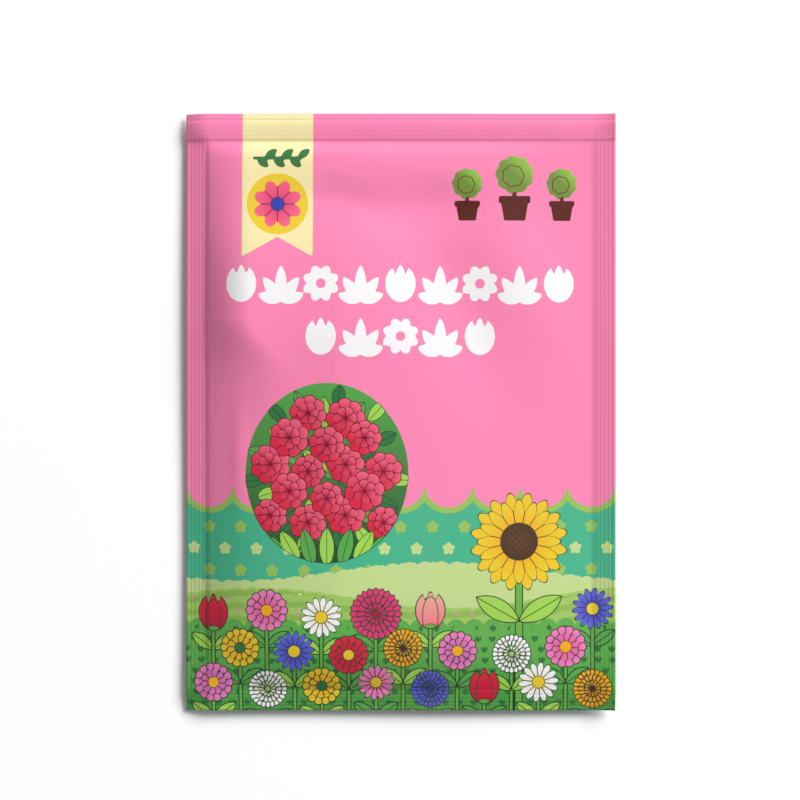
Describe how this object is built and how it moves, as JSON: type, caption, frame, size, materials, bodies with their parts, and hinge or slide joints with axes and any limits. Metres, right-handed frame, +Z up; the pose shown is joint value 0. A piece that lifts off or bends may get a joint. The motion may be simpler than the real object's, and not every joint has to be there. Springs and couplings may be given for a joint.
{
  "type": "seed packet",
  "caption": "Flat flower-seed packet of two printed plastic films, welded along four ribbed edges and softly puffed, with loose seeds inside, lying on its back.",
  "frame": {"origin": "on the surface the packet lies on, under the middle of its outline", "axes": "+X across the packet to the right, +Y towards its top edge, +Z up, out of its printed front"},
  "size_m": [0.1, 0.139, 0.0086],
  "materials": {
    "printed_front": "clear satin-gloss laminate over a pink, teal and green flower print",
    "printed_back": "clear satin-gloss laminate over a plain pink ground with a cream panel",
    "seed_coat": "dry, mottled brown and cream"
  },
  "bodies": {
    "root": {"front_film": "printed_front", "back_film": "printed_back", "seed_01": "seed_coat", "seed_02": "seed_coat", "seed_03": "seed_coat", "seed_04": "seed_coat", "seed_05": "seed_coat", "seed_06": "seed_coat", "seed_07": "seed_coat", "seed_08": "seed_coat", "seed_09": "seed_coat", "seed_10": "seed_coat", "seed_11": "seed_coat", "seed_12": "seed_coat", "seed_13": "seed_coat", "seed_14": "seed_coat", "seed_15": "seed_coat", "seed_16": "seed_coat", "seed_17": "seed_coat", "seed_18": "seed_coat", "seed_19": "seed_coat", "seed_20": "seed_coat", "seed_21": "seed_coat", "seed_22": "seed_coat", "seed_23": "seed_coat", "seed_24": "seed_coat", "seed_25": "seed_coat", "seed_26": "seed_coat", "seed_27": "seed_coat", "seed_28": "seed_coat", "seed_29": "seed_coat", "seed_30": "seed_coat", "seed_31": "seed_coat", "seed_32": "seed_coat", "seed_33": "seed_coat", "seed_34": "seed_coat", "seed_35": "seed_coat", "seed_36": "seed_coat", "seed_37": "seed_coat"}
  },
  "joints": []
}
